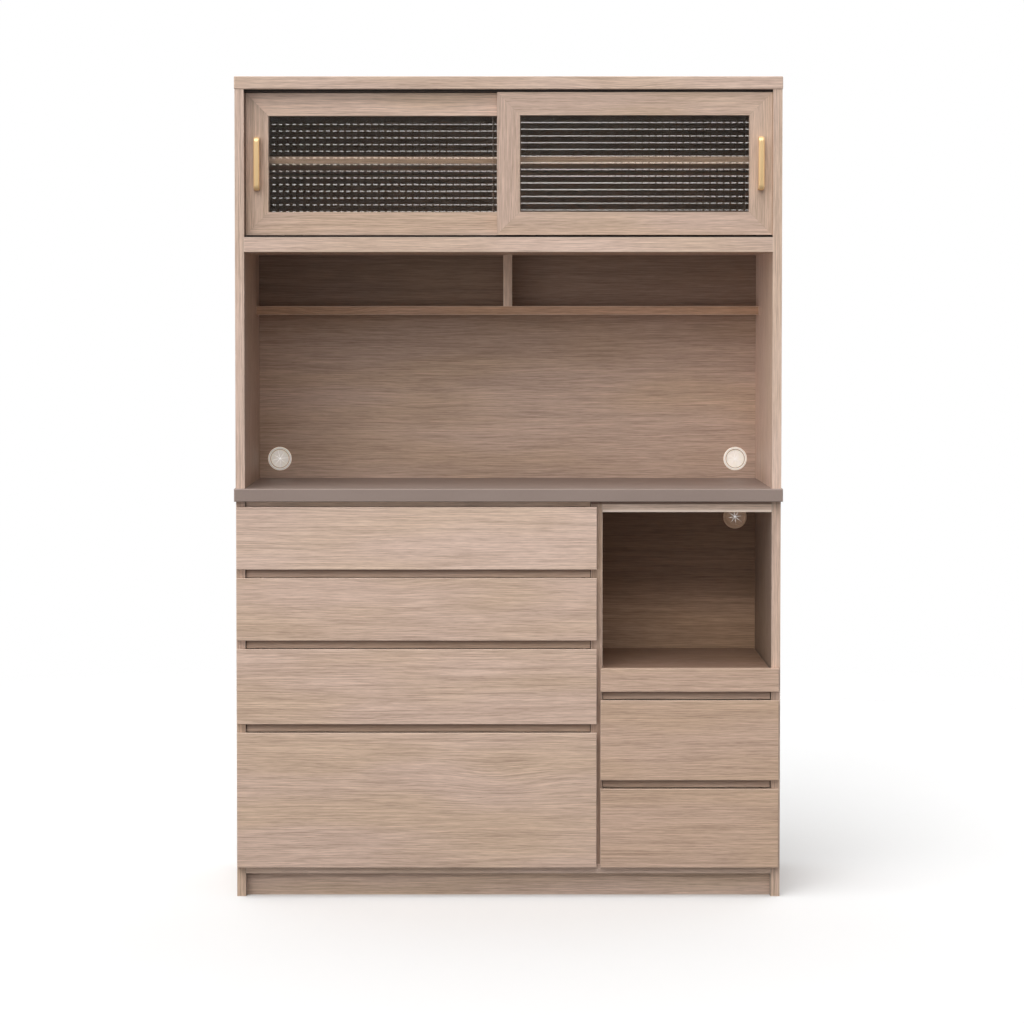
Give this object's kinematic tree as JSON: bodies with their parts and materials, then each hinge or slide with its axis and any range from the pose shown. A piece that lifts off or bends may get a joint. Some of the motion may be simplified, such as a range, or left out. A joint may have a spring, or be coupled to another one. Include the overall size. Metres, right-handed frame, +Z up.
{
  "type": "kitchen cupboard",
  "caption": "Tall kitchen cupboard: drawers and a pull-out tray bay below a counter, and a hutch with an open back shelf and sliding chequered-glass doors above.",
  "frame": {"origin": "on the floor, under the middle of the counter", "axes": "+Z up, front towards -Y, +X to the right seen from the front"},
  "size_m": [1.2, 0.445, 1.8],
  "materials": {
    "oak_board": "matt greyish oak grain",
    "oak_back": "matt oak grain print",
    "counter_laminate": "matt grey-brown",
    "pale_panel": "matt fibre board",
    "inner_board": "matt melamine",
    "chequered_glass": "patterned",
    "handle_brass": "satin",
    "grommet_plastic": "matt",
    "track_plastic": "matt",
    "glide_nylon": "matt",
    "slide_steel": "zinc plated",
    "dowel_beech": "plain"
  },
  "bodies": {
    "root": {"lower_side_left": "oak_board", "lower_side_right": "oak_board", "lower_partition": "oak_board", "bottom_board": "oak_board", "plinth_board": "oak_board", "drawer_rails": "oak_board", "bay_top_board": "oak_board", "hutch_side_left": "oak_board", "hutch_side_right": "oak_board", "hutch_top_board": "oak_board", "cabinet_floor": "oak_board", "spice_shelf": "oak_board", "spice_divider": "oak_board", "lower_back_panel": "oak_back", "hutch_back_panel": "oak_back", "countertop": "counter_laminate", "bay_ceiling_panel": "pale_panel", "cabinet_shelf": "inner_board", "shelf_pins": "slide_steel", "upper_door_track": "track_plastic", "lower_door_track": "track_plastic", "cord_grommets": "grommet_plastic", "slide_channels": "slide_steel", "hutch_dowels": "dowel_beech"},
    "left_door": {"left_door_frame": "oak_board", "left_door_glass": "chequered_glass", "left_door_handle": "handle_brass", "left_door_glides": "glide_nylon"},
    "right_door": {"right_door_frame": "oak_board", "right_door_glass": "chequered_glass", "right_door_handle": "handle_brass", "right_door_glides": "glide_nylon"},
    "drawer_1": {"drawer_1_front": "oak_board", "drawer_1_box": "inner_board", "drawer_1_slide_inner": "slide_steel"},
    "drawer_1_middle": {"drawer_1_slide_middle": "slide_steel"},
    "drawer_2": {"drawer_2_front": "oak_board", "drawer_2_box": "inner_board", "drawer_2_slide_inner": "slide_steel"},
    "drawer_2_middle": {"drawer_2_slide_middle": "slide_steel"},
    "drawer_3": {"drawer_3_front": "oak_board", "drawer_3_box": "inner_board", "drawer_3_slide_inner": "slide_steel"},
    "drawer_3_middle": {"drawer_3_slide_middle": "slide_steel"},
    "drawer_4": {"drawer_4_front": "oak_board", "drawer_4_box": "inner_board", "drawer_4_slide_inner": "slide_steel"},
    "drawer_4_middle": {"drawer_4_slide_middle": "slide_steel"},
    "drawer_5": {"drawer_5_front": "oak_board", "drawer_5_box": "inner_board", "drawer_5_slide_inner": "slide_steel"},
    "drawer_5_middle": {"drawer_5_slide_middle": "slide_steel"},
    "drawer_6": {"drawer_6_front": "oak_board", "drawer_6_box": "inner_board", "drawer_6_slide_inner": "slide_steel"},
    "drawer_6_middle": {"drawer_6_slide_middle": "slide_steel"},
    "tray": {"tray_front": "oak_board", "tray_board": "oak_board", "tray_slide_inner": "slide_steel"},
    "tray_middle": {"tray_slide_middle": "slide_steel"}
  },
  "joints": [
    {"name": "left_door_slide", "type": "slide", "parent": "root", "child": "left_door", "axis": [1, 0, 0], "range_m": [0, 0.515]},
    {"name": "right_door_slide", "type": "slide", "parent": "root", "child": "right_door", "axis": [1, 0, 0], "range_m": [-0.515, 0]},
    {"name": "drawer_1_slide", "type": "slide", "parent": "root", "child": "drawer_1", "axis": [0, -1, 0], "range_m": [0, 0.35]},
    {"name": "drawer_1_middle_slide", "type": "slide", "parent": "root", "child": "drawer_1_middle", "axis": [0, -1, 0], "range_m": [0, 0.175]},
    {"name": "drawer_2_slide", "type": "slide", "parent": "root", "child": "drawer_2", "axis": [0, -1, 0], "range_m": [0, 0.35]},
    {"name": "drawer_2_middle_slide", "type": "slide", "parent": "root", "child": "drawer_2_middle", "axis": [0, -1, 0], "range_m": [0, 0.175]},
    {"name": "drawer_3_slide", "type": "slide", "parent": "root", "child": "drawer_3", "axis": [0, -1, 0], "range_m": [0, 0.35]},
    {"name": "drawer_3_middle_slide", "type": "slide", "parent": "root", "child": "drawer_3_middle", "axis": [0, -1, 0], "range_m": [0, 0.175]},
    {"name": "drawer_4_slide", "type": "slide", "parent": "root", "child": "drawer_4", "axis": [0, -1, 0], "range_m": [0, 0.35]},
    {"name": "drawer_4_middle_slide", "type": "slide", "parent": "root", "child": "drawer_4_middle", "axis": [0, -1, 0], "range_m": [0, 0.175]},
    {"name": "drawer_5_slide", "type": "slide", "parent": "root", "child": "drawer_5", "axis": [0, -1, 0], "range_m": [0, 0.35]},
    {"name": "drawer_5_middle_slide", "type": "slide", "parent": "root", "child": "drawer_5_middle", "axis": [0, -1, 0], "range_m": [0, 0.175]},
    {"name": "drawer_6_slide", "type": "slide", "parent": "root", "child": "drawer_6", "axis": [0, -1, 0], "range_m": [0, 0.35]},
    {"name": "drawer_6_middle_slide", "type": "slide", "parent": "root", "child": "drawer_6_middle", "axis": [0, -1, 0], "range_m": [0, 0.175]},
    {"name": "tray_slide", "type": "slide", "parent": "root", "child": "tray", "axis": [0, -1, 0], "range_m": [0, 0.3]},
    {"name": "tray_middle_slide", "type": "slide", "parent": "root", "child": "tray_middle", "axis": [0, -1, 0], "range_m": [0, 0.15]}
  ],
  "couplings": [
    {"joint": "drawer_1_middle_slide", "follows": "drawer_1_slide", "ratio": 0.5},
    {"joint": "drawer_2_middle_slide", "follows": "drawer_2_slide", "ratio": 0.5},
    {"joint": "drawer_3_middle_slide", "follows": "drawer_3_slide", "ratio": 0.5},
    {"joint": "drawer_4_middle_slide", "follows": "drawer_4_slide", "ratio": 0.5},
    {"joint": "drawer_5_middle_slide", "follows": "drawer_5_slide", "ratio": 0.5},
    {"joint": "drawer_6_middle_slide", "follows": "drawer_6_slide", "ratio": 0.5},
    {"joint": "tray_middle_slide", "follows": "tray_slide", "ratio": 0.5}
  ]
}
